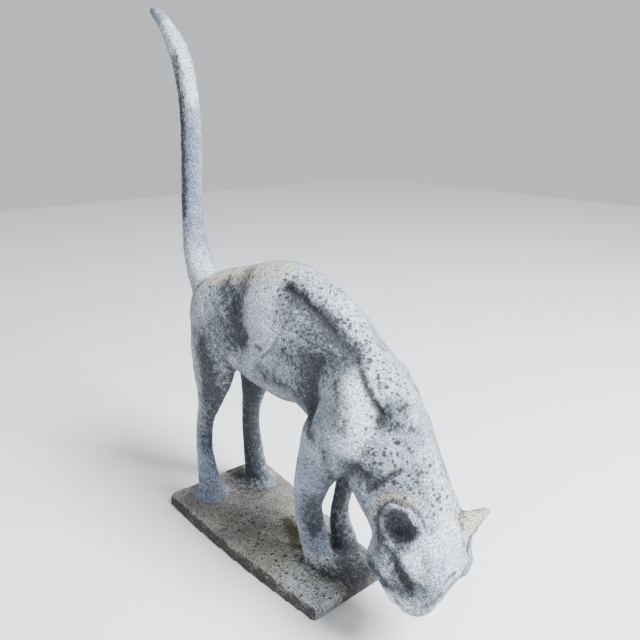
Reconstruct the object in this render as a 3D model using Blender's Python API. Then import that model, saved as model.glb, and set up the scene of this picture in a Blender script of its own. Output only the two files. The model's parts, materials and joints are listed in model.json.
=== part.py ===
"""Stone garden cat, cast in one with its thin slab. Metres, +Z up, the cat looks along +X."""

import math

import bmesh
import bpy
import numpy as np

# The slab: an oblong that narrows towards the front, with slightly bowed long sides.
SLAB_LENGTH = 0.365
SLAB_HALF_BACK = 0.0957
SLAB_HALF_FRONT = 0.0685
SLAB_THICK = 0.0220
SLAB_BOW = 0.006
SLAB_DRAFT = 0.004
SLAB_CORNER = 0.005
SLAB_RIM = 0.002
SLAB_STEPS = 8

# The mesh: the grain of the merged forms, and how many triangles are kept.
BODY_GRAIN = 0.003
HEAD_GRAIN = 0.0022
BODY_SOFTENING = 10
HEAD_SOFTENING = 2
KEPT_TRIANGLES = 8600

STONE_COLOUR = (0.42, 0.43, 0.45)
STONE_ROUGHNESS = 0.9

# Each row of a form: x, y, z of its middle, half its width, half its depth.
TRUNK = (
    (-0.166, 0.002, 0.350, 0.038, 0.040),
    (-0.140, 0.003, 0.345, 0.056, 0.059),
    (-0.085, 0.007, 0.346, 0.061, 0.076),
    (-0.020, 0.011, 0.345, 0.062, 0.095),
    (0.040, 0.015, 0.348, 0.065, 0.102),
    (0.093, 0.018, 0.339, 0.065, 0.092),
    (0.146, 0.020, 0.309, 0.062, 0.077),
    (0.173, 0.0195, 0.290, 0.060, 0.078),
    (0.199, 0.018, 0.268, 0.057, 0.080),
    (0.232, 0.016, 0.230, 0.052, 0.071),
    (0.262, 0.013, 0.193, 0.050, 0.063),
    (0.278, 0.008, 0.162, 0.044, 0.052),
)
TAIL = (
    (-0.162, 0.002, 0.355, 0.026, 0.030),
    (-0.187, 0.001, 0.393, 0.024, 0.026),
    (-0.200, 0.000, 0.425, 0.0210, 0.0225),
    (-0.205, 0.000, 0.470, 0.0180, 0.0187),
    (-0.2035, 0.000, 0.525, 0.0165, 0.0168),
    (-0.193, 0.000, 0.597, 0.0163, 0.0163),
    (-0.192, 0.000, 0.650, 0.0157, 0.0157),
    (-0.199, 0.000, 0.694, 0.0155, 0.0163),
    (-0.216, 0.000, 0.730, 0.0150, 0.0163),
    (-0.245, 0.000, 0.761, 0.0112, 0.0130),
    (-0.271, 0.000, 0.781, 0.0090, 0.0105),
    (-0.291, 0.000, 0.791, 0.0060, 0.0070),
)
HIND_RIGHT = (
    (-0.112, -0.010, 0.365, 0.030, 0.052),
    (-0.111, -0.020, 0.335, 0.033, 0.058),
    (-0.110, -0.028, 0.300, 0.031, 0.054),
    (-0.112, -0.034, 0.250, 0.0245, 0.0440),
    (-0.121, -0.038, 0.201, 0.0175, 0.0225),
    (-0.136, -0.039, 0.165, 0.0145, 0.0155),
    (-0.145, -0.039, 0.130, 0.0140, 0.0148),
    (-0.149, -0.038, 0.100, 0.0140, 0.0148),
    (-0.147, -0.037, 0.070, 0.0155, 0.0175),
    (-0.142, -0.037, 0.042, 0.0185, 0.0210),
    (-0.136, -0.037, 0.014, 0.0210, 0.0260),
)
HIND_LEFT = (
    (-0.106, 0.024, 0.365, 0.030, 0.050),
    (-0.103, 0.033, 0.335, 0.033, 0.056),
    (-0.099, 0.040, 0.300, 0.031, 0.052),
    (-0.108, 0.044, 0.240, 0.025, 0.038),
    (-0.124, 0.047, 0.190, 0.018, 0.022),
    (-0.134, 0.047, 0.150, 0.0155, 0.0165),
    (-0.135, 0.047, 0.114, 0.0155, 0.0168),
    (-0.131, 0.047, 0.080, 0.0170, 0.0190),
    (-0.127, 0.047, 0.055, 0.0180, 0.0210),
    (-0.120, 0.047, 0.030, 0.0195, 0.0255),
    (-0.116, 0.047, 0.016, 0.0200, 0.0310),
)
FRONT_RIGHT = (
    (0.180, -0.004, 0.335, 0.028, 0.040),
    (0.194, -0.020, 0.305, 0.030, 0.044),
    (0.192, -0.028, 0.282, 0.031, 0.046),
    (0.176, -0.033, 0.262, 0.0285, 0.0460),
    (0.155, -0.033, 0.226, 0.0245, 0.0370),
    (0.132, -0.027, 0.187, 0.0225, 0.0295),
    (0.113, -0.019, 0.152, 0.0210, 0.0265),
    (0.102, -0.014, 0.120, 0.0190, 0.0220),
    (0.101, -0.011, 0.092, 0.0190, 0.0220),
    (0.104, -0.008, 0.068, 0.0190, 0.0235),
    (0.109, -0.006, 0.045, 0.0185, 0.0250),
    (0.118, -0.005, 0.024, 0.0170, 0.0270),
    (0.120, -0.005, 0.013, 0.0175, 0.0280),
)
FRONT_LEFT = (
    (0.172, 0.036, 0.328, 0.026, 0.038),
    (0.178, 0.048, 0.300, 0.027, 0.042),
    (0.176, 0.055, 0.275, 0.026, 0.041),
    (0.158, 0.056, 0.235, 0.022, 0.033),
    (0.130, 0.050, 0.178, 0.0175, 0.0230),
    (0.115, 0.046, 0.135, 0.0140, 0.0165),
    (0.107, 0.045, 0.105, 0.0130, 0.0135),
    (0.102, 0.045, 0.080, 0.0135, 0.0145),
    (0.104, 0.045, 0.058, 0.0155, 0.0180),
    (0.112, 0.045, 0.038, 0.0170, 0.0220),
    (0.117, 0.045, 0.012, 0.0175, 0.0270),
)

# The head hangs nose down, turned and tipped to the cat's right.
HEAD_AT = (0.294, 0.000, 0.145)
HEAD_TURN = -40.0
HEAD_DROP = 49.0
HEAD_TIP = -25.0
# Along the head from nape to nose: distance, height of its middle, half its width, half its depth.
SKULL = (
    (-0.062, 0.006, 0.050, 0.046),
    (-0.042, 0.005, 0.054, 0.048),
    (-0.015, 0.003, 0.058, 0.049),
    (0.012, 0.000, 0.057, 0.045),
    (0.031, -0.006, 0.045, 0.036),
    (0.046, -0.011, 0.027, 0.028),
    (0.056, -0.014, 0.020, 0.021),
)
JAW = (
    (-0.045, -0.008, 0.030, 0.026),
    (-0.015, -0.017, 0.050, 0.034),
    (0.011, -0.022, 0.057, 0.034),
    (0.030, -0.025, 0.040, 0.027),
    (0.049, -0.029, 0.025, 0.018),
)
# The ears: side (1 left, -1 right), the middle of the base and the tip of the rim in the head's measures,
# the bulk of the form and how far behind the rim its middle lies, as a share of its half thickness.
EARS = (
    (1, (-0.0075, 0.0525, 0.0275), (-0.047, 0.070, 0.057), 1.50, 0.57),
    (-1, (-0.0200, 0.0445, 0.0310), (-0.047, 0.070, 0.059), 1.00, 0.38),
)
EAR_ACROSS = (-0.27, 0.67, -0.69)
# Along the ear: share of its length, half its width, half its thickness.
EAR_ROWS = (
    (-0.50, 0.0240, 0.0230),
    (0.00, 0.0245, 0.0200),
    (0.35, 0.0220, 0.0140),
    (0.70, 0.0145, 0.0080),
    (0.93, 0.0068, 0.0040),
)
HOLLOW_ROWS = (
    (0.02, 0.0185, 0.0150),
    (0.18, 0.0215, 0.0220),
    (0.45, 0.0185, 0.0180),
    (0.75, 0.0105, 0.0110),
    (0.88, 0.0055, 0.0060),
)
HOLLOW_BEHIND_RIM = -0.35
# The hollow lies nearer the ear's upper edge, so that edge runs smoothly into the forehead.
HOLLOW_UPWARD = 0.0040

# Strokes seen from the side, on both flanks: points (x, z), reach, depth. A negative depth raises.
# They start beyond a strip along the middle of the back, and fade where the skin turns away.
FLANK_MIDDLE = 0.015
FLANK_STRIP = 0.012
FLANK_FADE = 1.5
FLANK_STROKES = (
    (
        "spine groove",
        ((0.065, 0.429), (0.104, 0.415), (0.135, 0.402), (0.162, 0.387), (0.189, 0.374)),
        0.011,
        0.0050,
    ),
    (
        "shoulder edge",
        ((0.189, 0.374), (0.203, 0.363), (0.222, 0.337), (0.238, 0.316), (0.246, 0.305)),
        0.008,
        0.0060,
    ),
    ("shoulder", ((0.205, 0.330), (0.218, 0.300)), 0.020, -0.0040),
    ("behind shoulder", ((0.150, 0.350), (0.143, 0.322), (0.146, 0.290)), 0.017, 0.0080),
    ("ribs", ((0.060, 0.370), (0.095, 0.340)), 0.030, -0.0040),
    ("flank hollow", ((-0.034, 0.405), (-0.014, 0.375), (0.000, 0.345)), 0.020, 0.0070),
    ("belly hollow", ((0.000, 0.345), (-0.020, 0.310)), 0.016, 0.0040),
    ("thigh", ((-0.110, 0.370), (-0.080, 0.330), (-0.085, 0.290)), 0.026, -0.0050),
)
# Strokes on both sides of the head: points forward, outward, up.
HEAD_STROKES = (
    ("ear root", ((-0.040, 0.040, 0.048), (-0.024, 0.027, 0.052), (-0.008, 0.021, 0.049)), 0.0090, -0.0030),
    ("eye", ((0.028, 0.036, 0.024), (0.035, 0.029, 0.021)), 0.0095, 0.0075),
    ("temple", ((0.003, 0.053, 0.024), (0.014, 0.047, 0.026), (0.024, 0.038, 0.027)), 0.0055, 0.0030),
    ("brow", ((0.010, 0.038, 0.034), (0.022, 0.029, 0.035)), 0.0080, -0.0030),
    ("cheek", ((0.002, 0.056, 0.014), (0.016, 0.052, 0.012)), 0.0090, -0.0045),
    ("jaw", ((0.012, 0.050, -0.004), (0.026, 0.042, -0.012)), 0.0080, 0.0030),
    ("nose bridge", ((0.032, 0.0, 0.033), (0.048, 0.0, 0.021), (0.060, 0.0, 0.010)), 0.0090, -0.0020),
    ("muzzle", ((0.046, 0.023, 0.004), (0.056, 0.017, -0.002)), 0.0090, -0.0020),
    ("mouth", ((0.066, 0.008, -0.006), (0.058, 0.017, -0.011), (0.045, 0.026, -0.016)), 0.0035, 0.0020),
)
# Strokes on the neck, right side: points (x, y, z).
NECK_STROKES = (
    (
        "neck crease",
        ((0.240, -0.037, 0.219), (0.256, -0.032, 0.238), (0.273, -0.019, 0.253), (0.285, 0.010, 0.264)),
        0.0065,
        0.0035,
    ),
    (
        "neck fold",
        ((0.252, -0.044, 0.210), (0.268, -0.038, 0.228), (0.285, -0.022, 0.242)),
        0.0090,
        -0.0025,
    ),
)


def smooth_rows(rows, steps):
    """Rows of numbers joined by a smooth curve that passes through each of them."""
    rows = np.array(rows, float)
    gaps = np.linalg.norm(np.diff(rows[:, :3], axis=0), axis=1)
    at = np.concatenate([[0.0], np.cumsum(gaps)])
    slope = np.gradient(rows, at, axis=0)
    out = []
    for i in range(len(rows) - 1):
        gap = at[i + 1] - at[i]
        for t in np.linspace(0.0, 1.0, steps, endpoint=False):
            a = 2 * t**3 - 3 * t**2 + 1
            b = t**3 - 2 * t**2 + t
            c = -2 * t**3 + 3 * t**2
            d = t**3 - t**2
            out.append(a * rows[i] + b * gap * slope[i] + c * rows[i + 1] + d * gap * slope[i + 1])
    out.append(rows[-1])
    return np.array(out)


def loft(mesh, rows, across=(0.0, 1.0, 0.0), steps=6, sides=24, dome=0.6):
    """Adds a closed form of oval rings through the rows, with rounded ends."""
    track = smooth_rows(rows, steps)
    middle = track[:, :3]
    along = np.gradient(middle, axis=0)
    along /= np.linalg.norm(along, axis=1)[:, None]
    rings = []

    def ring(at, direction, half_width, half_depth):
        side = np.array(across, float)
        side -= direction * side.dot(direction)
        side /= np.linalg.norm(side)
        front = np.cross(direction, side)
        verts = []
        for i in range(sides):
            turn = 2 * math.pi * i / sides
            point = at + side * half_width * math.cos(turn) + front * half_depth * math.sin(turn)
            verts.append(mesh.verts.new(point))
        return verts

    def cap(i, sign):
        direction = along[i]
        half_width, half_depth = track[i, 3:5]
        height = dome * min(half_width, half_depth)
        found = []
        for degrees in (30, 60, 80):
            rise = math.sin(math.radians(degrees)) * height
            shrink = math.cos(math.radians(degrees))
            at = middle[i] + sign * direction * rise
            found.append(ring(at, direction, half_width * shrink, half_depth * shrink))
        return found, mesh.verts.new(middle[i] + sign * direction * height)

    start, start_pole = cap(0, -1)
    end, end_pole = cap(len(track) - 1, 1)
    rings += start[::-1]
    for i in range(len(track)):
        rings.append(ring(middle[i], along[i], track[i, 3], track[i, 4]))
    rings += end
    for low, high in zip(rings, rings[1:]):
        for i in range(sides):
            j = (i + 1) % sides
            mesh.faces.new((low[i], low[j], high[j], high[i]))
    for i in range(sides):
        j = (i + 1) % sides
        mesh.faces.new((start_pole, rings[0][j], rings[0][i]))
        mesh.faces.new((end_pole, rings[-1][i], rings[-1][j]))


def head_axes():
    """The head's own directions: forward to the nose, left, and up out of the forehead."""
    turn, drop, tip = (math.radians(a) for a in (HEAD_TURN, HEAD_DROP, HEAD_TIP))
    forward = np.array(
        [math.cos(drop) * math.cos(turn), math.cos(drop) * math.sin(turn), -math.sin(drop)]
    )
    level = np.array([-math.sin(turn), math.cos(turn), 0.0])
    left = math.cos(tip) * level + math.sin(tip) * np.cross(forward, level)
    return forward, left, np.cross(forward, left)


def head_direction(measures, side=1):
    """A direction in the head's own measures; side -1 mirrors it to the right."""
    forward, left, up = head_axes()
    return forward * measures[0] + left * measures[1] * side + up * measures[2]


def in_head(measures, side=1):
    return np.array(HEAD_AT) + head_direction(measures, side)


def new_object(name, mesh):
    data = bpy.data.meshes.new(name)
    mesh.to_mesh(data)
    mesh.free()
    obj = bpy.data.objects.new(name, data)
    bpy.context.scene.collection.objects.link(obj)
    return obj


def applied(obj):
    """Bakes the object's modifiers into its mesh."""
    bpy.context.view_layer.update()
    graph = bpy.context.evaluated_depsgraph_get()
    data = bpy.data.meshes.new_from_object(obj.evaluated_get(graph))
    obj.modifiers.clear()
    obj.data = data


def merge_forms(obj, grain, rounds):
    """Joins overlapping closed forms into one skin and softens where they meet."""
    remesh = obj.modifiers.new("one skin", "REMESH")
    remesh.mode = "VOXEL"
    remesh.voxel_size = grain
    soften = obj.modifiers.new("soften", "SMOOTH")
    soften.factor = 0.5
    soften.iterations = rounds
    applied(obj)


def boolean(obj, other, operation):
    """Applies a Boolean with another object, which is then removed."""
    step = obj.modifiers.new(operation.lower(), "BOOLEAN")
    step.operation = operation
    step.solver = "EXACT"
    step.object = other
    applied(obj)
    bpy.data.objects.remove(other)


def make_body():
    mesh = bmesh.new()
    for rows in (TRUNK, TAIL, HIND_LEFT, HIND_RIGHT, FRONT_LEFT, FRONT_RIGHT):
        loft(mesh, rows)
    for rows in (SKULL, JAW):
        head = [(*in_head((u, 0.0, w)), a, b) for u, w, a, b in rows]
        loft(mesh, head, across=head_direction((0, 1, 0)))
    obj = new_object("stone_cat", mesh)
    merge_forms(obj, BODY_GRAIN, BODY_SOFTENING)
    return obj


def ear_form(side, base, tip, profile, bulk, behind_rim, name, upward=0.0):
    """One ear from its root to its tip, or the form that hollows it."""
    base = in_head(base, side)
    tip = in_head(tip, side)
    across = head_direction(EAR_ACROSS, side)
    opening = np.cross(tip - base, across) * -side
    opening /= np.linalg.norm(opening)
    rows = []
    for share, half_width, half_thick in profile:
        half_thick *= bulk
        at = base + (tip - base) * share - opening * half_thick * behind_rim
        at = at - across * upward * (1 - share)
        rows.append((*at, half_width, half_thick))
    mesh = bmesh.new()
    loft(mesh, rows, across=across)
    return new_object(name, mesh)


def add_ears(cat):
    for side, base, tip, bulk, behind_rim in EARS:
        ear = ear_form(side, base, tip, EAR_ROWS, bulk, behind_rim, "ear")
        boolean(cat, ear, "UNION")
    for side, base, tip, _, _ in EARS:
        hollow = ear_form(side, base, tip, HOLLOW_ROWS, 1.0, HOLLOW_BEHIND_RIM, "ear hollow", HOLLOW_UPWARD)
        boolean(cat, hollow, "DIFFERENCE")


def make_slab():
    """The slab's outline, extruded, with its upper edge drawn in a little."""
    half = SLAB_LENGTH / 2
    outline = []
    for i in range(SLAB_STEPS + 1):
        share = i / SLAB_STEPS
        bow = SLAB_BOW * 4 * share * (1 - share)
        width = SLAB_HALF_BACK + (SLAB_HALF_FRONT - SLAB_HALF_BACK) * share
        outline.append((-half + SLAB_LENGTH * share, -(width + bow)))
    for i in range(SLAB_STEPS + 1):
        share = 1 - i / SLAB_STEPS
        width = SLAB_HALF_BACK + (SLAB_HALF_FRONT - SLAB_HALF_BACK) * share
        outline.append((-half + SLAB_LENGTH * share, width))
    mesh = bmesh.new()
    low = [mesh.verts.new((x, y, 0.0)) for x, y in outline]
    draw_in = 1 - SLAB_DRAFT / SLAB_HALF_BACK
    high = []
    for x, y in outline:
        high.append(mesh.verts.new((x - math.copysign(SLAB_DRAFT / 2, x), y * draw_in, SLAB_THICK)))
    mesh.faces.new(low[::-1])
    mesh.faces.new(high)
    count = len(outline)
    for i in range(count):
        j = (i + 1) % count
        mesh.faces.new((low[i], low[j], high[j], high[i]))
    upright = [e for e in mesh.edges if abs(e.verts[0].co.z - e.verts[1].co.z) > SLAB_THICK / 2]
    corners = [e for e in upright if e.calc_face_angle() > math.radians(40)]
    bmesh.ops.bevel(mesh, geom=corners, offset=SLAB_CORNER, segments=3, profile=0.5, affect="EDGES")
    upper = [e for e in mesh.edges if all(v.co.z > SLAB_THICK - 1e-5 for v in e.verts)]
    rim = [e for e in upper if e.calc_face_angle() > math.radians(30)]
    bmesh.ops.bevel(mesh, geom=rim, offset=SLAB_RIM, segments=2, profile=0.5, affect="EDGES")
    return new_object("slab", mesh)


def thin_out(obj, triangles):
    """Keeps the most telling triangles."""
    count = sum(len(p.vertices) - 2 for p in obj.data.polygons)
    step = obj.modifiers.new("fewer", "DECIMATE")
    step.ratio = triangles / count
    step.use_collapse_triangulate = True
    applied(obj)


def points_and_normals(obj):
    """The vertices and their normals, as arrays."""
    count = len(obj.data.vertices)
    at = np.empty(count * 3)
    obj.data.vertices.foreach_get("co", at)
    facing = np.empty(count * 3)
    obj.data.vertices.foreach_get("normal", facing)
    return at.reshape(-1, 3), facing.reshape(-1, 3)


def put_points(obj, at):
    obj.data.vertices.foreach_set("co", at.ravel())
    obj.data.update()


def gap_to_line(at, line):
    """How far each point is from a line of straight pieces."""
    line = np.array(line, float)
    nearest = np.full(len(at), np.inf)
    for a, b in zip(line, line[1:]):
        along = b - a
        share = np.clip((at - a) @ along / along.dot(along), 0, 1)
        nearest = np.minimum(nearest, np.linalg.norm(at - a - share[:, None] * along, axis=1))
    return nearest


def carve_flanks(obj):
    at, facing = points_and_normals(obj)
    for side in (-1, 1):
        outward = np.clip(side * facing[:, 1] * FLANK_FADE, 0, 1)
        on_side = side * (at[:, 1] - FLANK_MIDDLE) > FLANK_STRIP
        for _, line, reach, depth in FLANK_STROKES:
            pull = depth * np.exp(-((gap_to_line(at[:, [0, 2]], line) / reach) ** 2))
            at -= facing * (pull * outward * on_side)[:, None]
    put_points(obj, at)


def carve_along(obj, strokes):
    """Carves or raises along lines that lie on the surface: points, reach, depth."""
    at, facing = points_and_normals(obj)
    for line, reach, depth in strokes:
        pull = depth * np.exp(-((gap_to_line(at, line) / reach) ** 2))
        at -= facing * pull[:, None]
    put_points(obj, at)


def carve_head_and_neck(obj):
    carve_along(obj, [stroke[1:] for stroke in NECK_STROKES])
    for side in (-1, 1):
        strokes = []
        for _, line, reach, depth in HEAD_STROKES:
            strokes.append(([in_head(point, side) for point in line], reach, depth))
        carve_along(obj, strokes)


def stone():
    """Pale grey cast stone."""
    material = bpy.data.materials.new("weathered_cast_stone")
    material.use_nodes = True
    shader = material.node_tree.nodes["Principled BSDF"]
    shader.inputs["Base Color"].default_value = (*STONE_COLOUR, 1.0)
    shader.inputs["Roughness"].default_value = STONE_ROUGHNESS
    return material


def make_cat():
    cat = make_body()
    carve_flanks(cat)
    add_ears(cat)
    merge_forms(cat, HEAD_GRAIN, HEAD_SOFTENING)
    carve_head_and_neck(cat)
    thin_out(cat, KEPT_TRIANGLES)
    boolean(cat, make_slab(), "UNION")
    cat.data.materials.clear()
    cat.data.materials.append(stone())


def clear_scene():
    for obj in list(bpy.data.objects):
        bpy.data.objects.remove(obj)


def main():
    clear_scene()
    make_cat()


main()
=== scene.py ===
# %% [markdown]
# # A stone garden cat on its slab
#
# This lesson dresses a weathered cast-stone cat. The solid form, with its pose and its main muscles,
# comes from the imported model. What is added here is what a mason and years of rain leave on such
# a piece: the last sharp carving, the grit, the pits and chips, the pale dry patches, the dark grime and
# the lichen. Some of the pale patches are also painted light, and some of the dark grime is also painted
# shade. The camera stands where the photograph was taken.

# %% Load the solid form
import bpy
import math
import numpy as np
from mathutils import Matrix, Vector, noise
from mathutils.bvhtree import BVHTree
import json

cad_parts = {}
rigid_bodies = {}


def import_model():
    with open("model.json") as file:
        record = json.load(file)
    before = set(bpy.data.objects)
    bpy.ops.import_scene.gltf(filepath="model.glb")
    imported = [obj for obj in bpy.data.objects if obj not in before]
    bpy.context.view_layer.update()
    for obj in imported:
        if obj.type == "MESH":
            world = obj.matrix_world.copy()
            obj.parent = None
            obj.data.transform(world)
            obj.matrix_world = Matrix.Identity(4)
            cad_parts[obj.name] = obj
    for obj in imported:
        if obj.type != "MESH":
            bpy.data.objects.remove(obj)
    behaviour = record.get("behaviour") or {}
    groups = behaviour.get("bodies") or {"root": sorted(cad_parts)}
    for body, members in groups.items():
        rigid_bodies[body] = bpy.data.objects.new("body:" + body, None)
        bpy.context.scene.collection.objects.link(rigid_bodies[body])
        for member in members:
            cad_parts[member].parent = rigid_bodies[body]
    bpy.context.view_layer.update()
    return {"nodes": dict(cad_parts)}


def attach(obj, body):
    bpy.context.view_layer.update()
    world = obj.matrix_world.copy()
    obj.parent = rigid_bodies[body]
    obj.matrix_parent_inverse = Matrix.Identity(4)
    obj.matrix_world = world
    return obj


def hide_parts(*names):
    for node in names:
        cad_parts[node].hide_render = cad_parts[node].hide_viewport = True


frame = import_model()
bpy.ops.object.select_all(action="DESELECT")

# %% [markdown]
# ## The piece: one casting of stone
#
# The cat and its slab were cast as one, so they stay one piece here too. It could be sculpted by hand
# with brushes, but a script has no hand. So the solid is copied, its loose triangles are joined, and a
# Remesh modifier lays an even skin of small squares over it. Small, even squares are like fresh clay:
# they take a fine stroke anywhere.

# %% Copy the solid and give it an even skin
SKIN_SQUARE = 0.0029
SMOOTH_ROUNDS = 2

bpy.context.view_layer.objects.active = frame["nodes"]["stone_cat"]
frame["nodes"]["stone_cat"].select_set(True)
bpy.ops.object.duplicate()
cat = bpy.context.view_layer.objects.active
cat.name = "weathered_cat"
bpy.ops.object.parent_clear(type="CLEAR_KEEP_TRANSFORM")
bpy.ops.object.mode_set(mode="EDIT")
bpy.ops.mesh.select_all(action="SELECT")
bpy.ops.mesh.remove_doubles(threshold=0.00001)
bpy.ops.object.mode_set(mode="OBJECT")


def finish_modifier(piece, kind, **settings):
    """Adds a modifier with its settings and applies it at once."""
    modifier = piece.modifiers.new(kind.lower(), kind)
    for name, value in settings.items():
        setattr(modifier, name, value)
    with bpy.context.temp_override(object=piece, active_object=piece, selected_objects=[piece]):
        bpy.ops.object.modifier_apply(modifier=modifier.name)


finish_modifier(cat, "REMESH", mode="VOXEL", voxel_size=SKIN_SQUARE)
finish_modifier(cat, "SMOOTH", factor=0.5, iterations=SMOOTH_ROUNDS)
print("skin of", len(cat.data.polygons), "squares")


# %% [markdown]
# ## The last carving
#
# A carver ends with narrow strokes: round the eye, along the nose, into the ear, between the toes. Each
# stroke here is a line of points that lies on the surface. Every point of the skin near that line moves
# along its own normal, most in the middle and not at all at the stroke's edge. A stroke with a depth
# below nothing raises a ridge.

# %% Carving tools
def skin_points(piece):
    """The piece's points and their normals as two arrays."""
    count = len(piece.data.vertices)
    places = np.empty(count * 3)
    normals = np.empty(count * 3, dtype=np.float32)
    piece.data.vertices.foreach_get("co", places)
    piece.data.vertex_normals.foreach_get("vector", normals)
    return places.reshape(-1, 3), normals.reshape(-1, 3).astype(float)


def put_skin(piece, places):
    """Puts the moved points back."""
    piece.data.vertices.foreach_set("co", places.ravel())
    piece.data.update()


def gap_to_line(places, line):
    """Each point's distance to a line through several points."""
    best = np.full(len(places), np.inf)
    line = np.array(line, float)
    for start, end in zip(line[:-1], line[1:]):
        along = end - start
        share = np.clip((places - start) @ along / max(along @ along, 1e-12), 0, 1)
        best = np.minimum(best, np.linalg.norm(places - start - share[:, None] * along, axis=1))
    return best


def swell(share):
    """A soft hump: 1 in the middle of a stroke, 0 at its edge and beyond."""
    inside = np.clip(1 - share, 0, 1)
    return inside * inside * (3 - 2 * inside)


def carve(places, normals, line, reach, depth):
    """Presses a stroke into the skin."""
    amount = depth * swell(gap_to_line(places, line) / reach)
    places -= normals * amount[:, None]


def neighbour_mean(values, ends, count):
    """The mean over each point's neighbours along the edges."""
    total = np.zeros((count, values.shape[1]))
    number = np.bincount(ends.ravel(), minlength=count)
    for one, other in ((0, 1), (1, 0)):
        for axis in range(values.shape[1]):
            total[:, axis] += np.bincount(ends[:, one], weights=values[ends[:, other], axis], minlength=count)
    return total / np.maximum(number, 1)[:, None]


ends = np.empty(len(cat.data.edges) * 2, dtype=np.int32)
cat.data.edges.foreach_get("vertices", ends)
ends = ends.reshape(-1, 2)
print("skin of", len(cat.data.vertices), "points and", len(ends), "edges")

# %% [markdown]
# ## Feet that grow out of the slab
#
# A cast foot never meets its slab in a sharp corner, because such a corner would tear in the mould. The
# skin is relaxed there, over and over, until foot and slab flow into each other. Elsewhere on the slab the
# edges stay, but years of knocks have nibbled at them, so the points near an edge sink in unevenly.

# %% Soften the feet's joints and nibble the slab's edges
SLAB_TOP = 0.0220
SLAB_HALF_LENGTH = 0.1825
FEET = ((-0.136, -0.037), (-0.116, 0.047), (0.119, -0.006), (0.116, 0.045))
FOOT_REACH = 0.036
JOINT_ROUNDS = 30
NIBBLE = 0.0016


def slab_half_width(x, side):
    """The slab's half width at x; its near long side bows out a little."""
    share = (x + SLAB_HALF_LENGTH) / (2 * SLAB_HALF_LENGTH)
    bow = np.where(side < 0, 0.006 * 4 * share * (1 - share), 0.0)
    return 0.0957 - 0.0272 * share + bow


places, normals = skin_points(cat)
to_foot = np.min([np.hypot(places[:, 0] - x, places[:, 1] - y) for x, y in FEET], axis=0)
to_side = slab_half_width(places[:, 0], np.sign(places[:, 1])) - np.abs(places[:, 1])
to_end = SLAB_HALF_LENGTH - np.abs(places[:, 0])
to_rim = np.minimum(to_side, to_end)
joint = (to_foot < FOOT_REACH) & (np.abs(places[:, 2] - SLAB_TOP) < 0.012) & (to_rim > 0.008)
for _ in range(JOINT_ROUNDS):
    places[joint] = neighbour_mean(places, ends, len(places))[joint]

near_edge = np.nonzero((places[:, 2] < SLAB_TOP + 0.001) & (to_rim < 0.006) & (places[:, 2] > 0.004))[0]
for index in near_edge:
    here = Vector(places[index])
    bite = noise.noise(here * 55.0) + 0.5 * noise.noise(here * 160.0)
    upper = max(0.0, 1 - (SLAB_TOP - here.z) / 0.010)
    sink = NIBBLE * (0.3 + 0.7 * upper) * max(0.0, bite + 0.15) * 1.6
    places[index] -= normals[index] * sink
put_skin(cat, places)
print(int(joint.sum()), "points relaxed at the feet,", len(near_edge), "points near an edge")


# %% [markdown]
# ## The strokes of the chisel
#
# These are the marks that the photograph shows best: two crossing chisel cuts on the flank, the long
# groove beside the spine, the slot at the front of the shoulder blade, the crease of the collar, the eye,
# the mouth, and the places where the tail has flaked. Depths are 1 to 3 mm, as a hand chisel leaves them.

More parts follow.
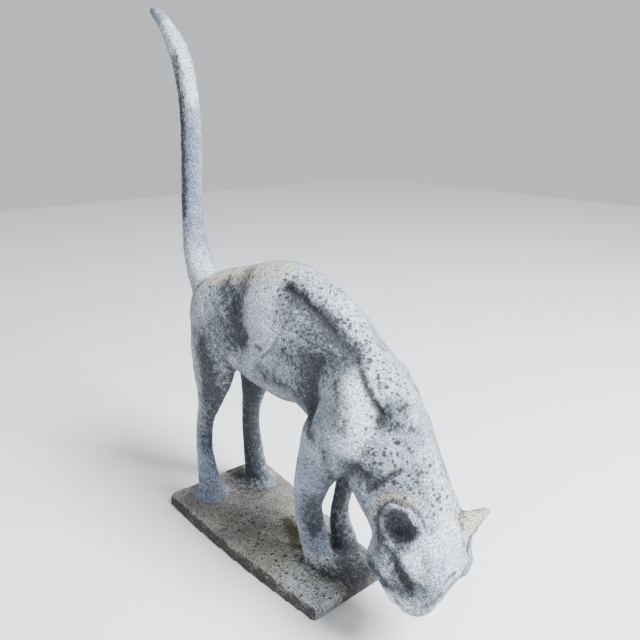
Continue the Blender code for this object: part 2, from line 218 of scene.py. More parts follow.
# %% Carve the strokes
STROKES = (
    # what it is, its line on the surface, its reach and its depth in metres
    ("chisel dent", ((0.039, -0.051, 0.347), (0.053, -0.051, 0.344)), 0.0053, 0.0022),
    ("chisel ridge upper", ((0.003, -0.041, 0.339), (0.045, -0.051, 0.356), (0.076, -0.050, 0.366)), 0.0033, -0.0016),
    ("chisel ridge lower", ((0.076, -0.051, 0.364), (0.061, -0.052, 0.348), (0.042, -0.049, 0.332), (0.022, -0.047, 0.323)), 0.0033, -0.0016),
    ("chisel dent low", ((0.052, -0.050, 0.334), (0.074, -0.052, 0.351)), 0.0039, 0.0014),
    ("hip line", ((-0.062, -0.034, 0.403), (-0.048, -0.037, 0.395), (-0.035, -0.041, 0.382)), 0.0036, -0.0010),
    ("hip furrow", ((-0.054, -0.032, 0.404), (-0.039, -0.035, 0.393), (-0.024, -0.041, 0.376)), 0.0042, 0.0012),
    ("thigh furrow", ((-0.079, -0.047, 0.382), (-0.057, -0.051, 0.367), (-0.044, -0.052, 0.349)), 0.0043, 0.0010),
    ("thigh furrow rear", ((-0.090, -0.053, 0.373), (-0.075, -0.056, 0.351), (-0.072, -0.055, 0.324)), 0.0044, 0.0008),
    ("rump furrow", ((-0.049, -0.013, 0.424), (-0.045, -0.022, 0.415), (-0.045, -0.031, 0.402)), 0.0043, 0.0009),
    ("spine groove", ((0.066, -0.016, 0.426), (0.102, -0.015, 0.415), (0.132, -0.012, 0.401), (0.155, -0.011, 0.384), (0.178, -0.007, 0.368)), 0.0050, 0.0020),
    ("groove lip", ((0.067, -0.012, 0.432), (0.101, -0.010, 0.423), (0.132, -0.007, 0.408), (0.153, -0.004, 0.393), (0.173, 0.000, 0.376)), 0.0050, -0.0010),
    ("shoulder slot", ((0.189, -0.006, 0.361), (0.211, -0.017, 0.349), (0.224, -0.020, 0.337), (0.232, -0.017, 0.324), (0.239, -0.013, 0.313)), 0.0035, 0.0026),
    ("shoulder slot lip", ((0.195, -0.003, 0.359), (0.215, -0.012, 0.351), (0.225, -0.014, 0.338), (0.234, -0.010, 0.325)), 0.0035, -0.0010),
    ("shoulder ring", ((0.200, 0.002, 0.360), (0.212, -0.012, 0.352), (0.223, -0.014, 0.341), (0.225, -0.001, 0.341)), 0.0029, 0.0008),
    ("collar crease", ((0.242, -0.032, 0.220), (0.257, -0.030, 0.236), (0.268, -0.024, 0.248), (0.276, -0.017, 0.256)), 0.0034, 0.0020),
    ("collar lip", ((0.253, -0.035, 0.222), (0.267, -0.031, 0.237), (0.279, -0.020, 0.249)), 0.0046, -0.0010),
    ("chest scratch", ((0.223, -0.043, 0.256), (0.232, -0.035, 0.247), (0.249, -0.032, 0.246)), 0.0023, -0.0008),
    ("chest scratch low", ((0.225, -0.038, 0.249), (0.238, -0.035, 0.245), (0.247, -0.033, 0.240)), 0.0023, 0.0010),
    ("elbow line", ((0.187, -0.060, 0.259), (0.190, -0.057, 0.241), (0.187, -0.044, 0.214)), 0.0036, 0.0014),
    ("shoulder streak a", ((0.184, -0.037, 0.337), (0.199, -0.047, 0.325), (0.204, -0.055, 0.304)), 0.0035, 0.0010),
    ("shoulder streak b", ((0.209, -0.043, 0.331), (0.217, -0.048, 0.316), (0.218, -0.054, 0.297)), 0.0034, 0.0010),
    ("foreleg line", ((0.140, -0.034, 0.292), (0.162, -0.055, 0.281), (0.171, -0.061, 0.256)), 0.0037, 0.0009),
    ("hind leg check", ((-0.128, -0.045, 0.146),), 0.0025, 0.0008),
    ("far hind check", ((-0.129, 0.033, 0.122), (-0.119, 0.049, 0.121)), 0.0026, 0.0008),
    ("far hind crease", ((-0.105, 0.033, 0.037), (-0.093, 0.037, 0.026), (-0.077, 0.034, 0.022)), 0.0043, 0.0020),
    ("pit upper", ((0.266, -0.013, 0.286),), 0.0034, 0.0026),
    ("pit lower", ((0.269, -0.017, 0.272),), 0.0025, 0.0018),
    ("pit small", ((0.323, -0.022, 0.187),), 0.0017, 0.0015),
    ("tail flake a", ((-0.232, -0.012, 0.748), (-0.222, -0.013, 0.741)), 0.0059, 0.0016),
    ("tail flake b", ((-0.207, -0.014, 0.725), (-0.200, -0.013, 0.716)), 0.0058, 0.0016),
    ("tail flake c", ((-0.194, -0.013, 0.702), (-0.190, -0.013, 0.689)), 0.0058, 0.0014),
    ("tail lip", ((-0.222, -0.011, 0.750), (-0.201, -0.010, 0.727), (-0.191, -0.010, 0.708)), 0.0037, -0.0009),
    ("tail seam", ((-0.191, 0.005, 0.714), (-0.179, 0.004, 0.672), (-0.176, 0.003, 0.630)), 0.0037, 0.0007),
    ("slab crack", ((0.138, 0.038, 0.026), (0.157, 0.039, 0.022), (0.180, 0.034, 0.021)), 0.0022, 0.0012),
    ("slab ridge", ((0.004, 0.007, 0.022), (0.042, -0.008, 0.022)), 0.0023, -0.0009),
    ("mouth", ((0.299, -0.039, 0.102), (0.313, -0.042, 0.104), (0.321, -0.039, 0.102)), 0.0029, 0.0016),
    ("ear back crease", ((0.264, -0.036, 0.209), (0.256, -0.036, 0.188), (0.269, -0.043, 0.180)), 0.0035, 0.0014),
    ("neck streak", ((0.255, -0.036, 0.196), (0.266, -0.036, 0.211), (0.273, -0.033, 0.223)), 0.0029, -0.0008),
    ("left ear edge", ((0.338, 0.037, 0.177), (0.336, 0.030, 0.167)), 0.0023, 0.0012),
    ("left brow", ((0.345, 0.017, 0.146), (0.344, 0.002, 0.144), (0.344, -0.009, 0.142), (0.341, -0.014, 0.124), (0.338, -0.022, 0.111)), 0.0028, 0.0020),
    ("right eye", ((0.306, -0.049, 0.159), (0.310, -0.045, 0.147), (0.317, -0.041, 0.135)), 0.0045, 0.0024),
    ("right eye lid", ((0.305, -0.047, 0.171), (0.317, -0.046, 0.166), (0.325, -0.041, 0.151)), 0.0044, -0.0012),
    ("cheek hollow", ((0.277, -0.046, 0.121), (0.299, -0.052, 0.132)), 0.0058, 0.0018),
    ("jaw line", ((0.268, -0.052, 0.143), (0.277, -0.049, 0.133), (0.287, -0.045, 0.119)), 0.0035, 0.0016),
    ("nose side", ((0.330, -0.031, 0.162), (0.332, -0.033, 0.144), (0.328, -0.035, 0.123)), 0.0044, 0.0010),
    ("paw toe a", ((0.142, -0.023, 0.022), (0.133, -0.019, 0.026)), 0.0021, 0.0012),
    ("paw toe b", ((0.147, -0.014, 0.022), (0.141, -0.012, 0.029)), 0.0021, 0.0012),
    ("foot fold", ((0.091, -0.016, 0.022), (0.119, -0.022, 0.027)), 0.0044, 0.0010),
    ("shoulder foot hollow", ((0.230, -0.036, 0.234), (0.240, -0.034, 0.227)), 0.0047, 0.0015),
)

STROKE_WIDTH = 1.7

places, normals = skin_points(cat)
for _, line, reach, depth in STROKES:
    carve(places, normals, line if len(line) > 1 else line * 2, STROKE_WIDTH * reach, depth)
put_skin(cat, places)
print(len(STROKES), "strokes carved")

# %% [markdown]
# ## The worn skin
#
# Rain has washed the finest sand out of the surface and left it rough. Two Displace modifiers do that,
# each with a Clouds texture: one in lumps of 14 mm, as the clay model had, and one in grit of 5 mm, which
# is coarser than the real sand, because finer grit would be lost between the points of the skin.

# %% Roughen the skin
for name, lump, height in (("modelled_lumps", 0.014, 0.0012), ("washed_grit", 0.005, 0.0013)):
    clouds = bpy.data.textures.new(name, "CLOUDS")
    clouds.noise_scale = lump
    clouds.noise_depth = 2
    finish_modifier(cat, "DISPLACE", texture=clouds, texture_coords="LOCAL", strength=height, mid_level=0.5)

# The slab stands flat on the ground, so nothing reaches below it.
places, _ = skin_points(cat)
places[:, 2] = np.maximum(places[:, 2], 0.0)
put_skin(cat, places)
print("skin roughened, lowest point at", round(places[:, 2].min() * 1000, 2), "mm")

# %% [markdown]
# ## Where rain and skylight reach
#
# Rain washes what it can reach and leaves it pale. Under the belly, between the legs and beneath the
# head the soot and algae stay, and little of the sky's light gets there: the darkening laid there later is
# partly that grime and partly painted shade. To tell the washed places from the sheltered ones, each point
# of the skin looks up along a fixed fan of lines, and counts how many of them reach the sky. A second
# measure, the hollow, tells how deep a point lies below its smoothed surroundings: dirt settles there too.

# %% Open sky and hollows
SKY_LINES = 14
SKY_REACH = 0.6
SMOOTH_STEPS = 14

places, normals = skin_points(cat)
fan = []
for step in range(SKY_LINES):
    height = (step + 0.5) / SKY_LINES
    around = step * math.pi * (3 - math.sqrt(5))
    flat = math.sqrt(1 - height * height)
    fan.append(Vector((flat * math.cos(around), flat * math.sin(around), height)))
tree_of_faces = BVHTree.FromObject(cat, bpy.context.evaluated_depsgraph_get())
starts = [Vector(p) for p in places + normals * 0.0015]
open_sky = np.zeros(len(places))
for line in fan:
    facing = normals @ np.array(line)
    for index in np.nonzero(facing > 0)[0]:
        if tree_of_faces.ray_cast(starts[index], line, SKY_REACH)[0] is None:
            open_sky[index] += 1.0
open_sky = (open_sky / SKY_LINES)[:, None]
mellow = places.copy()
for _ in range(SMOOTH_STEPS):
    mellow = neighbour_mean(mellow, ends, len(places))
    open_sky = 0.5 * open_sky + 0.5 * neighbour_mean(open_sky, ends, len(places))
open_sky = open_sky[:, 0]
hollow = np.einsum("ij,ij->i", mellow - places, normals)
print("open sky from", round(open_sky.min(), 2), "to", round(open_sky.max(), 2))
print("hollows to", round(hollow.max() * 1000, 1), "mm, ridges to", round(-hollow.min() * 1000, 1), "mm")

# %% [markdown]
# ## Stains laid one by one
#
# Some stains have a history that no rule tells: a drip from the shoulder, a cushion of moss by the paw.
# They are laid one by one, each along a short line, and kept as numbers on the skin's points, which the
# material reads. The numbers only say how strong a stain is. The material gives it its colour and its
# ragged edge.

# %% The stains
STAINS = (
    ("grime_and_shade", "rump to flank", ((-0.029, -0.010, 0.430), (-0.011, -0.029, 0.416), (-0.017, -0.036, 0.391), (-0.020, -0.042, 0.368)), 0.017, 0.60),
    ("grime_and_shade", "hip shadow", ((-0.061, -0.032, 0.406), (-0.035, -0.040, 0.383), (-0.018, -0.044, 0.355), (-0.015, -0.044, 0.334)), 0.020, 0.85),
    ("grime_and_shade", "thigh middle", ((-0.062, -0.055, 0.350), (-0.036, -0.051, 0.336)), 0.026, 0.60),
    # partly grime, partly painted shade: the back of the thigh faces away from the lamp
    ("grime_and_shade", "thigh rear", ((-0.089, -0.060, 0.312), (-0.084, -0.060, 0.282), (-0.088, -0.052, 0.237)), 0.024, 0.95),
    ("grime_and_shade", "hind leg top", ((-0.089, -0.050, 0.227), (-0.116, -0.042, 0.170), (-0.131, -0.038, 0.126)), 0.019, 0.60),
    # grime in the spine groove, and painted shade on its lower side
    ("grime_and_shade", "spine groove", ((0.070, -0.016, 0.425), (0.102, -0.015, 0.415), (0.132, -0.012, 0.401), (0.155, -0.011, 0.384), (0.175, -0.007, 0.370)), 0.014, 0.95),
    ("grime_and_shade", "below groove", ((0.139, -0.014, 0.394), (0.165, -0.012, 0.374), (0.186, -0.006, 0.363)), 0.019, 0.60),
    ("grime_and_shade", "ribs", ((0.091, -0.031, 0.405), (0.119, -0.037, 0.380), (0.142, -0.031, 0.366)), 0.035, 0.45),
    ("grime_and_shade", "flank foot", ((0.101, -0.048, 0.355), (0.126, -0.043, 0.348), (0.160, -0.026, 0.354), (0.183, -0.012, 0.361)), 0.016, 0.55),
    # painted shade behind the shoulder and low on the belly, with grime
    ("grime_and_shade", "behind shoulder", ((0.135, -0.037, 0.349), (0.138, -0.035, 0.319), (0.138, -0.034, 0.293)), 0.017, 1.00),
    ("grime_and_shade", "belly", ((0.042, -0.044, 0.308), (0.089, -0.041, 0.302), (0.124, -0.039, 0.300)), 0.017, 0.65),
    ("grime_and_shade", "shoulder edge", ((0.206, -0.015, 0.354), (0.223, -0.019, 0.338), (0.234, -0.015, 0.319), (0.241, -0.013, 0.311)), 0.006, 0.90),
    ("grime_and_shade", "shoulder streak", ((0.186, -0.038, 0.337), (0.202, -0.048, 0.324), (0.208, -0.056, 0.299)), 0.008, 0.55),
    ("grime_and_shade", "shoulder streak front", ((0.209, -0.043, 0.330), (0.218, -0.049, 0.313), (0.219, -0.054, 0.291)), 0.007, 0.45),
    ("grime_and_shade", "elbow", ((0.139, -0.034, 0.301), (0.145, -0.040, 0.282), (0.166, -0.060, 0.268)), 0.010, 0.85),
    ("grime_and_shade", "neck blot", ((0.248, -0.008, 0.317), (0.257, 0.007, 0.320)), 0.011, 0.65),
    ("grime_and_shade", "neck blot low", ((0.248, -0.017, 0.300), (0.261, -0.008, 0.302)), 0.011, 0.60),
    ("grime_and_shade", "neck edge blot", ((0.271, 0.005, 0.300), (0.274, 0.010, 0.297)), 0.007, 0.70),
    ("grime_and_shade", "chest", ((0.220, -0.040, 0.244), (0.236, -0.035, 0.237), (0.249, -0.032, 0.238)), 0.016, 0.85),
    ("grime_and_shade", "elbow front", ((0.189, -0.060, 0.257), (0.192, -0.055, 0.237), (0.185, -0.044, 0.211)), 0.008, 0.55),
    ("grime_and_shade", "front leg", ((0.134, -0.031, 0.145), (0.122, -0.015, 0.112), (0.121, -0.019, 0.090)), 0.018, 0.80),
    # painted shade on the far legs and the far paw, which stand in the body's shade, with grime
    ("grime_and_shade", "far front leg", ((0.117, 0.034, 0.118), (0.119, 0.035, 0.059)), 0.020, 0.75),
    ("grime_and_shade", "far front paw", ((0.118, 0.029, 0.035), (0.136, 0.040, 0.032), (0.140, 0.023, 0.022)), 0.023, 1.00),
    ("grime_and_shade", "far hind leg", ((-0.098, 0.025, 0.219), (-0.123, 0.037, 0.131), (-0.113, 0.033, 0.053)), 0.027, 1.00),
    # painted shadows on the slab: of the body between the hind feet, and of the head by the front corner
    ("grime_and_shade", "slab behind", ((-0.145, 0.021, 0.022), (-0.095, 0.022, 0.022)), 0.032, 0.70),
    ("grime_and_shade", "slab front corner", ((0.160, 0.005, 0.022), (0.174, 0.031, 0.022), (0.181, -0.001, 0.014)), 0.025, 0.85),
    ("grime_and_shade", "slab by paw", ((0.097, -0.023, 0.022), (0.132, -0.022, 0.022), (0.151, -0.012, 0.022)), 0.011, 0.80),
    # partly grime, partly painted shade in the jaw, the eye socket and the cheek hollow
    ("grime_and_shade", "jaw", ((0.264, -0.052, 0.144), (0.275, -0.049, 0.132), (0.283, -0.045, 0.121)), 0.010, 0.90),
    ("grime_and_shade", "eye", ((0.301, -0.049, 0.167), (0.310, -0.045, 0.152), (0.317, -0.041, 0.135)), 0.013, 0.90),
    ("grime_and_shade", "cheek", ((0.278, -0.047, 0.127), (0.307, -0.050, 0.133)), 0.014, 0.65),
    # partly grime, partly painted shade inside the ear
    ("grime_and_shade", "ear hollow", ((0.282, -0.044, 0.212), (0.286, -0.032, 0.192), (0.302, -0.028, 0.189)), 0.014, 0.60),
    ("grime_and_shade", "ear inner edge", ((0.303, -0.041, 0.227), (0.306, -0.029, 0.208), (0.314, -0.028, 0.199)), 0.007, 1.00),
    ("grime_and_shade", "below ear", ((0.282, -0.046, 0.181), (0.299, -0.041, 0.180)), 0.015, 0.65),
    ("grime_and_shade", "behind ear", ((0.261, -0.036, 0.202), (0.271, -0.043, 0.181)), 0.010, 0.60),
    ("grime_and_shade", "nose side", ((0.329, -0.024, 0.171), (0.332, -0.032, 0.151), (0.329, -0.035, 0.126)), 0.010, 0.40),
    ("grime_and_shade", "far eye", ((0.344, -0.007, 0.143), (0.345, 0.005, 0.147)), 0.004, 0.95),
    ("grime_and_shade", "mouth", ((0.337, -0.027, 0.115), (0.341, -0.014, 0.124)), 0.006, 0.70),
    # partly grime, partly painted shade on the side of the tail away from the lamp
    ("grime_and_shade", "tail edge", ((-0.202, -0.014, 0.716), (-0.189, -0.014, 0.665), (-0.192, -0.016, 0.587), (-0.203, -0.017, 0.488)), 0.009, 0.85),
    ("damp", "tail middle", ((-0.179, -0.008, 0.623), (-0.186, -0.010, 0.558), (-0.192, -0.012, 0.473)), 0.024, 0.80),
    ("damp", "hind leg", ((-0.133, -0.040, 0.116), (-0.132, -0.036, 0.077), (-0.121, -0.045, 0.038)), 0.027, 0.80),
    ("damp", "front leg long", ((0.164, -0.056, 0.219), (0.123, -0.024, 0.123), (0.122, -0.020, 0.063)), 0.024, 0.80),
    ("damp", "shoulder foot", ((0.200, -0.057, 0.257), (0.214, -0.046, 0.246)), 0.021, 0.50),
    ("damp", "brow to nose", ((0.338, -0.014, 0.159), (0.341, -0.023, 0.138)), 0.018, 0.50),
    # pale stains: stone washed pale by rain, and on the shoulder, upper back, forehead, muzzle, the thigh's front edge,
    # the tail top, the neck and the slab's near corner also painted light where the lamp falls strongest
    ("washed_and_lit", "flank", ((0.030, -0.038, 0.408), (0.055, -0.049, 0.379)), 0.034, 0.90),
    ("washed_and_lit", "shoulder", ((0.219, -0.034, 0.331), (0.234, -0.041, 0.298), (0.228, -0.047, 0.279)), 0.027, 0.90),
    ("washed_and_lit", "upper back", ((0.072, 0.001, 0.441), (0.129, 0.011, 0.421), (0.181, 0.015, 0.379), (0.225, 0.014, 0.348)), 0.032, 0.55),
    ("washed_and_lit", "forehead", ((0.326, 0.018, 0.191), (0.335, -0.004, 0.171)), 0.038, 0.95),
    ("washed_and_lit", "brow", ((0.302, -0.041, 0.179), (0.316, -0.043, 0.173)), 0.013, 0.85),
    ("washed_and_lit", "muzzle", ((0.293, -0.040, 0.103), (0.309, -0.041, 0.104)), 0.016, 0.85),
    ("washed_and_lit", "thigh front edge", ((-0.017, -0.044, 0.319), (-0.059, -0.034, 0.278), (-0.072, -0.043, 0.248)), 0.010, 0.85),
    ("washed_and_lit", "thigh crest", ((-0.072, -0.054, 0.316), (-0.062, -0.045, 0.293)), 0.012, 0.60),
    ("washed_and_lit", "tail top", ((-0.235, -0.008, 0.764), (-0.195, -0.008, 0.720), (-0.179, -0.005, 0.665)), 0.018, 0.80),
    ("washed_and_lit", "tail foot", ((-0.180, -0.013, 0.422), (-0.165, -0.006, 0.404)), 0.022, 0.70),
    ("washed_and_lit", "neck", ((0.290, 0.020, 0.268), (0.308, 0.018, 0.239), (0.316, 0.035, 0.204)), 0.021, 0.60),
    ("washed_and_lit", "chest fold", ((0.232, -0.035, 0.216), (0.244, -0.033, 0.232)), 0.008, 0.60),
    ("washed_and_lit", "slab near corner", ((0.119, -0.044, 0.022), (0.163, -0.043, 0.022)), 0.033, 0.90),
    ("cream", "rump top", ((-0.109, -0.027, 0.406), (-0.033, -0.016, 0.425), (0.047, -0.005, 0.444)), 0.020, 0.85),
    ("cream", "left ear", ((0.327, 0.042, 0.191), (0.334, 0.055, 0.194)), 0.019, 0.90),
    ("cream", "right ear rim", ((0.266, -0.035, 0.217), (0.282, -0.029, 0.228), (0.297, -0.021, 0.224)), 0.010, 0.90),
    ("cream", "ear streak", ((0.253, -0.036, 0.194), (0.264, -0.036, 0.210)), 0.006, 0.80),
    ("cream", "slab front", ((0.081, -0.042, 0.022), (0.173, -0.025, 0.022)), 0.037, 0.50),
    ("moss", "moss", ((0.008, 0.016, 0.022), (0.039, 0.007, 0.022), (0.066, -0.008, 0.022)), 0.012, 1.00),
    ("moss", "moss paw", ((0.128, -0.020, 0.037), (0.137, -0.015, 0.033)), 0.008, 0.45),
    ("lichen", "upper back spots", ((0.078, -0.004, 0.436), (0.128, 0.004, 0.420), (0.165, 0.013, 0.394)), 0.032, 1.00),
    ("lichen", "upper back spots low", ((0.194, 0.019, 0.369), (0.236, 0.012, 0.340)), 0.024, 0.85),
    ("lichen", "nape spots", ((0.258, -0.024, 0.271), (0.288, -0.014, 0.249), (0.310, 0.012, 0.236)), 0.029, 0.95),
    ("lichen", "neck spots", ((0.249, -0.001, 0.323), (0.264, -0.007, 0.299)), 0.018, 0.75),
    ("lichen", "crown spots", ((0.314, -0.004, 0.219), (0.322, 0.056, 0.193)), 0.008, 1.00),
    ("lichen", "shoulder spots", ((0.227, -0.012, 0.337), (0.254, -0.021, 0.288)), 0.023, 0.60),
    ("lichen", "ribs spots", ((0.091, -0.031, 0.405), (0.147, -0.028, 0.367)), 0.030, 0.55),
    ("lichen", "rump spots", ((-0.086, -0.035, 0.401), (0.023, -0.029, 0.423)), 0.025, 0.45),
    ("lichen", "slab spots", ((-0.030, -0.029, 0.022), (0.151, -0.051, 0.022)), 0.059, 0.55),
)


def lay_stains(places):
    """Each layer's strength at every point, from 0 to 1."""
    layers = {}
    for layer, _, line, reach, amount in STAINS:
        line = line if len(line) > 1 else line * 2
        here = amount * np.exp(-((gap_to_line(places, line) / reach) ** 2))
        before = layers.setdefault(layer, np.zeros(len(places)))
        layers[layer] = 1 - (1 - before) * (1 - here)
    return layers


layers = lay_stains(places)
# Painted shade and grime: points that see little sky darken, under the belly, between the legs, beneath the head and on
# the slab under the body; near the slab top the darkening is weaker.
shelter_grime_and_shade = np.clip((0.50 - open_sky) / 0.42, 0, 1)
by_slab = np.clip((places[:, 2] - SLAB_TOP) / 0.030, 0.25, 1)
layers["grime_and_shade"] = 1 - (1 - layers["grime_and_shade"]) * (1 - 0.9 * by_slab * shelter_grime_and_shade ** 1.3)
layers["hollow"] = np.clip(0.5 + by_slab * hollow / 0.0020, 0, 1)
on_slab = (places[:, 2] < SLAB_TOP + 0.0012) & (places[:, 0] < SLAB_HALF_LENGTH + 0.002)
layers["slab"] = on_slab.astype(float)
# Painted shade on the slab's upright sides: strong on the sides that face away from the lamp, weaker on the front end,
# which faces it.
upright = on_slab * np.clip(1.4 - 2 * np.abs(normals[:, 2]), 0, 1)
layers["slab_side_shade"] = upright * np.where(normals[:, 0] > 0.7, 0.35, 0.85)
for name, strength in layers.items():
    attribute = cat.data.attributes.new(name, "FLOAT", "POINT")
    attribute.data.foreach_set("value", strength.astype(np.float32))
print("layers", sorted(layers))

# %% [markdown]
# ## Stone colours
#
# Weathered cast stone is pale and chalky where rain washes it, bluish grey where it stays damp, and
# speckled with grey and black lichen on its upper sides. Some pale stains also paint light, and some dark
# stains and the slab's sides paint shade. Nothing on it shines.

# %% Colour and node helpers
def linear(hex_colour):
    """An sRGB hex colour as the linear colour that Blender's shaders use."""
    parts = [int(hex_colour[i:i + 2], 16) / 255 for i in (1, 3, 5)]
    return [c / 12.92 if c <= 0.04045 else ((c + 0.055) / 1.055) ** 2.4 for c in parts] + [1.0]


def add_node(tree, kind, links=None, values=None, **settings):
    """Adds one shader node with its settings, its inputs' values, and links from other nodes' outputs."""
    node = tree.nodes.new(kind)
    for name, value in settings.items():
        setattr(node, name, value)
    for socket, value in (values or {}).items():
        node.inputs[socket].default_value = value
    for socket, output in (links or {}).items():
        tree.links.new(output, node.inputs[socket])
    return node


# %% Weathered cast stone: the body of the stone
stone = bpy.data.materials.new("weathered_cast_stone")
stone.use_nodes = True
tree = stone.node_tree
tree.nodes.clear()
place = add_node(tree, "ShaderNodeTexCoord").outputs["Object"]
on_slab = add_node(tree, "ShaderNodeAttribute", attribute_name="slab").outputs["Fac"]

cloudy = add_node(tree, "ShaderNodeTexNoise", {"Vector": place},
                  {"Scale": 22.0, "Detail": 5.0, "Roughness": 0.62}).outputs["Fac"]
body_tone = add_node(tree, "ShaderNodeValToRGB", {"Fac": cloudy})
body_tone.color_ramp.elements[0].position = 0.34
body_tone.color_ramp.elements[0].color = linear("#6b747f")
body_tone.color_ramp.elements[1].position = 0.66
body_tone.color_ramp.elements[1].color = linear("#a4adb6")
slab_tone = add_node(tree, "ShaderNodeValToRGB", {"Fac": cloudy})
slab_tone.color_ramp.elements[0].position = 0.34
slab_tone.color_ramp.elements[0].color = linear("#66635f")
slab_tone.color_ramp.elements[1].position = 0.66
slab_tone.color_ramp.elements[1].color = linear("#96938b")
colour = add_node(tree, "ShaderNodeMixRGB", {"Fac": on_slab, "Color1": body_tone.outputs["Color"],
                                             "Color2": slab_tone.outputs["Color"]}).outputs["Color"]

# %% Weathered cast stone: the stains' colours and ragged edges
STAIN_COLOURS = (
    # layer, colour, how strong at most, pattern scale per metre, how ragged
    # washed stone, and painted light on the most strongly lit places
    ("washed_and_lit", "#c3ccd4", 0.90, 70.0, 1.6),
    ("damp", "#5d6880", 0.75, 60.0, 1.4),
    ("cream", "#b9b4a0", 0.80, 150.0, 1.8),
    # painted shade on the slab's upright sides
    ("slab_side_shade", "#2b2825", 0.92, 60.0, 1.6),
    # grime, and painted shade where a grime stain stands in for shade
    ("grime_and_shade", "#25282d", 0.93, 130.0, 2.2),
    ("moss", "#45402a", 0.95, 160.0, 1.8),
)
for layer, stain_colour, most, scale, ragged in STAIN_COLOURS:
    strength = add_node(tree, "ShaderNodeAttribute", attribute_name=layer).outputs["Fac"]
    edge = add_node(tree, "ShaderNodeTexNoise", {"Vector": place},
                    {"Scale": scale, "Detail": 5.0, "Roughness": 0.78}).outputs["Fac"]
    torn = add_node(tree, "ShaderNodeMath", {0: edge}, {1: ragged, 2: -0.5 * ragged}, operation="MULTIPLY_ADD")
    reached = add_node(tree, "ShaderNodeMath", {0: strength, 1: torn.outputs["Value"]}, operation="ADD")
    amount = add_node(tree, "ShaderNodeMapRange", {"Value": reached.outputs["Value"]},
                      {"From Min": 0.15, "From Max": 0.85, "To Min": 0.0, "To Max": most})
    within = add_node(tree, "ShaderNodeMapRange", {"Value": strength}, {"From Min": 0.03, "From Max": 0.30})
    share = add_node(tree, "ShaderNodeMath", {0: amount.outputs["Result"], 1: within.outputs["Result"]},
                     operation="MULTIPLY")
    colour = add_node(tree, "ShaderNodeMixRGB", {"Fac": share.outputs["Value"], "Color1": colour},
                      {"Color2": linear(stain_colour)}).outputs["Color"]

# %% Weathered cast stone: grit, dirt in the hollows and lichen
hollows = add_node(tree, "ShaderNodeAttribute", attribute_name="hollow").outputs["Fac"]
settled = add_node(tree, "ShaderNodeMapRange", {"Value": hollows},
                   {"From Min": 0.55, "From Max": 1.0, "To Min": 0.0, "To Max": 0.75}).outputs["Result"]
colour = add_node(tree, "ShaderNodeMixRGB", {"Fac": settled, "Color1": colour},
                  {"Color2": linear("#2b2e33")}).outputs["Color"]

grit = add_node(tree, "ShaderNodeTexNoise", {"Vector": place},
                {"Scale": 420.0, "Detail": 3.0, "Roughness": 0.75}).outputs["Fac"]
speckle = add_node(tree, "ShaderNodeMapRange", {"Value": grit},
                   {"From Min": 0.36, "From Max": 0.64, "To Min": 0.22, "To Max": 1.75}).outputs["Result"]
colour = add_node(tree, "ShaderNodeMixRGB", {"Color1": colour, "Color2": speckle}, {"Fac": 1.0},
                  blend_type="MULTIPLY").outputs["Color"]

# Lichen spots are 3 to 4 mm wide and stand 6 to 10 mm apart where they are dense.
lichen = add_node(tree, "ShaderNodeAttribute", attribute_name="lichen").outputs["Fac"]
for spacing, width in ((0.0095, 0.0038), (0.0058, 0.0024)):
    wavy = add_node(tree, "ShaderNodeTexNoise", {"Vector": place}, {"Scale": 1.2 / spacing, "Detail": 2.0})
    pushed = add_node(tree, "ShaderNodeVectorMath", {0: wavy.outputs["Color"]},
                      {1: (0.6 * spacing,) * 3}, operation="MULTIPLY")
    warped = add_node(tree, "ShaderNodeVectorMath", {0: place, 1: pushed.outputs["Vector"]}, operation="ADD")
    cells = add_node(tree, "ShaderNodeTexVoronoi", {"Vector": warped.outputs["Vector"]}, {"Scale": 1 / spacing})
    chance = add_node(tree, "ShaderNodeSeparateColor", {"Color": cells.outputs["Color"]}).outputs["Red"]
    chosen = add_node(tree, "ShaderNodeMath", {0: lichen, 1: chance}, operation="SUBTRACT")
    spot_size = add_node(tree, "ShaderNodeMapRange", {"Value": chosen.outputs["Value"]},
                         {"From Min": 0.0, "From Max": 0.15, "To Min": 0.0, "To Max": 0.7 * width / spacing})
    inside = add_node(tree, "ShaderNodeMath", {0: spot_size.outputs["Result"], 1: cells.outputs["Distance"]},
                      operation="SUBTRACT")
    spot = add_node(tree, "ShaderNodeMapRange", {"Value": inside.outputs["Value"]},
                    {"From Min": -0.06, "From Max": 0.06, "To Min": 0.0, "To Max": 0.85})
    colour = add_node(tree, "ShaderNodeMixRGB", {"Fac": spot.outputs["Result"], "Color1": colour},
                      {"Color2": linear("#24282c")}).outputs["Color"]

# %% Weathered cast stone: its dull, gritty surface
pores = add_node(tree, "ShaderNodeTexNoise", {"Vector": place},
                 {"Scale": 420.0, "Detail": 4.0, "Roughness": 0.7}).outputs["Fac"]
relief = add_node(tree, "ShaderNodeBump", {"Height": pores}, {"Strength": 1.0, "Distance": 0.0020})
shader = add_node(tree, "ShaderNodeBsdfPrincipled", {"Base Color": colour, "Normal": relief.outputs["Normal"]},
                  {"Roughness": 0.93})
add_node(tree, "ShaderNodeOutputMaterial", {"Surface": shader.outputs["BSDF"]})
cat.data.materials.clear()
cat.data.materials.append(stone)
print("material", stone.name, "with", len(tree.nodes), "nodes")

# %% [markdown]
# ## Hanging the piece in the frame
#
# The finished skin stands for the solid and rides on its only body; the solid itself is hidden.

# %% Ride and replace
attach(cat, "root")
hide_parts("stone_cat")

# %% [markdown]
# ## Floor, light and camera
#
# The photograph shows the cat cut out on white, lit by a bright, even sky. A pale floor, a pale world
# and one large soft lamp, high up in front of the cat's head, give that.

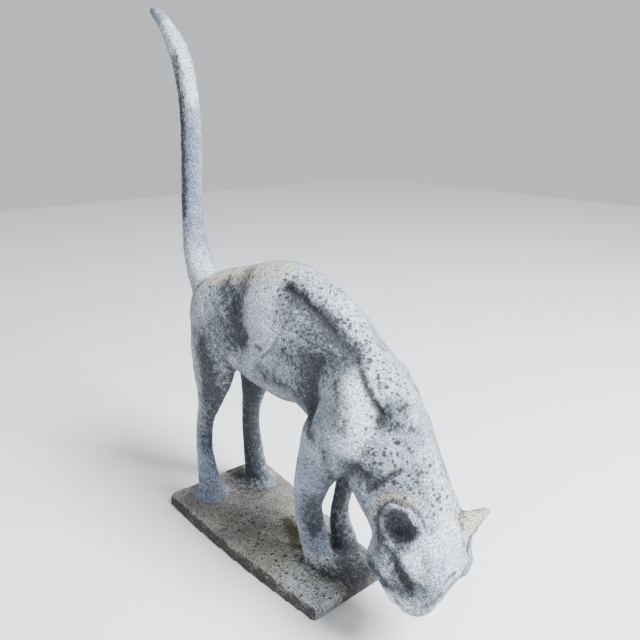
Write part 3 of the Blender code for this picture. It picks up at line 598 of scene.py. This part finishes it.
# %% Floor
bpy.ops.mesh.primitive_plane_add(size=8.0, location=(0, 0, 0))
floor = bpy.context.view_layer.objects.active
floor.name = "studio_floor"
paper = bpy.data.materials.new("pale_matt_floor")
paper.use_nodes = True
paper.node_tree.nodes["Principled BSDF"].inputs["Base Color"].default_value = linear("#f7f7f7")
paper.node_tree.nodes["Principled BSDF"].inputs["Roughness"].default_value = 0.95
floor.data.materials.append(paper)

# %% World and lamps
world = bpy.data.worlds.new("bright_sky")
bpy.context.scene.world = world
world.use_nodes = True
world.node_tree.nodes["Background"].inputs["Color"].default_value = linear("#f4f7fb")
world.node_tree.nodes["Background"].inputs["Strength"].default_value = 0.75


def soft_lamp(name, place, aim, size, power, colour):
    """A square lamp that looks at a point."""
    bpy.ops.object.light_add(type="AREA", location=place)
    lamp = bpy.context.view_layer.objects.active
    lamp.name = name
    lamp.data.shape = "SQUARE"
    lamp.data.size = size
    lamp.data.energy = power
    lamp.data.color = linear(colour)[:3]
    lamp.rotation_euler = (Vector(aim) - Vector(place)).to_track_quat("-Z", "Y").to_euler()
    return lamp


soft_lamp("sky_window", (1.7, 0.5, 2.1), (0.05, 0.0, 0.30), 1.1, 260.0, "#f8faff")

# %% Camera
CAMERA_PLACE = (0.68949, -0.47361, 0.64203)
CAMERA_YAW = math.radians(140.580)
CAMERA_DOWN = math.radians(18.640)
CAMERA_ROLL = math.radians(0.300)
FRAME_PIXELS = 640
FOCAL_PIXELS = 619.76

look = Vector((math.cos(CAMERA_DOWN) * math.cos(CAMERA_YAW), math.cos(CAMERA_DOWN) * math.sin(CAMERA_YAW),
               -math.sin(CAMERA_DOWN)))
level_right = Vector((math.sin(CAMERA_YAW), -math.cos(CAMERA_YAW), 0.0))
level_down = look.cross(level_right)
right = math.cos(CAMERA_ROLL) * level_right + math.sin(CAMERA_ROLL) * level_down
down = math.cos(CAMERA_ROLL) * level_down - math.sin(CAMERA_ROLL) * level_right
bpy.ops.object.camera_add(location=CAMERA_PLACE)
camera = bpy.context.view_layer.objects.active
camera.name = "photo_camera"
turn = Matrix((right, -down, -look)).transposed().to_4x4()
camera.matrix_world = Matrix.Translation(CAMERA_PLACE) @ turn
camera.data.sensor_width = 36.0
camera.data.lens = 36.0 * FOCAL_PIXELS / FRAME_PIXELS
camera.data.clip_start = 0.01
bpy.context.scene.camera = camera
print("camera lens", round(camera.data.lens, 2), "mm")
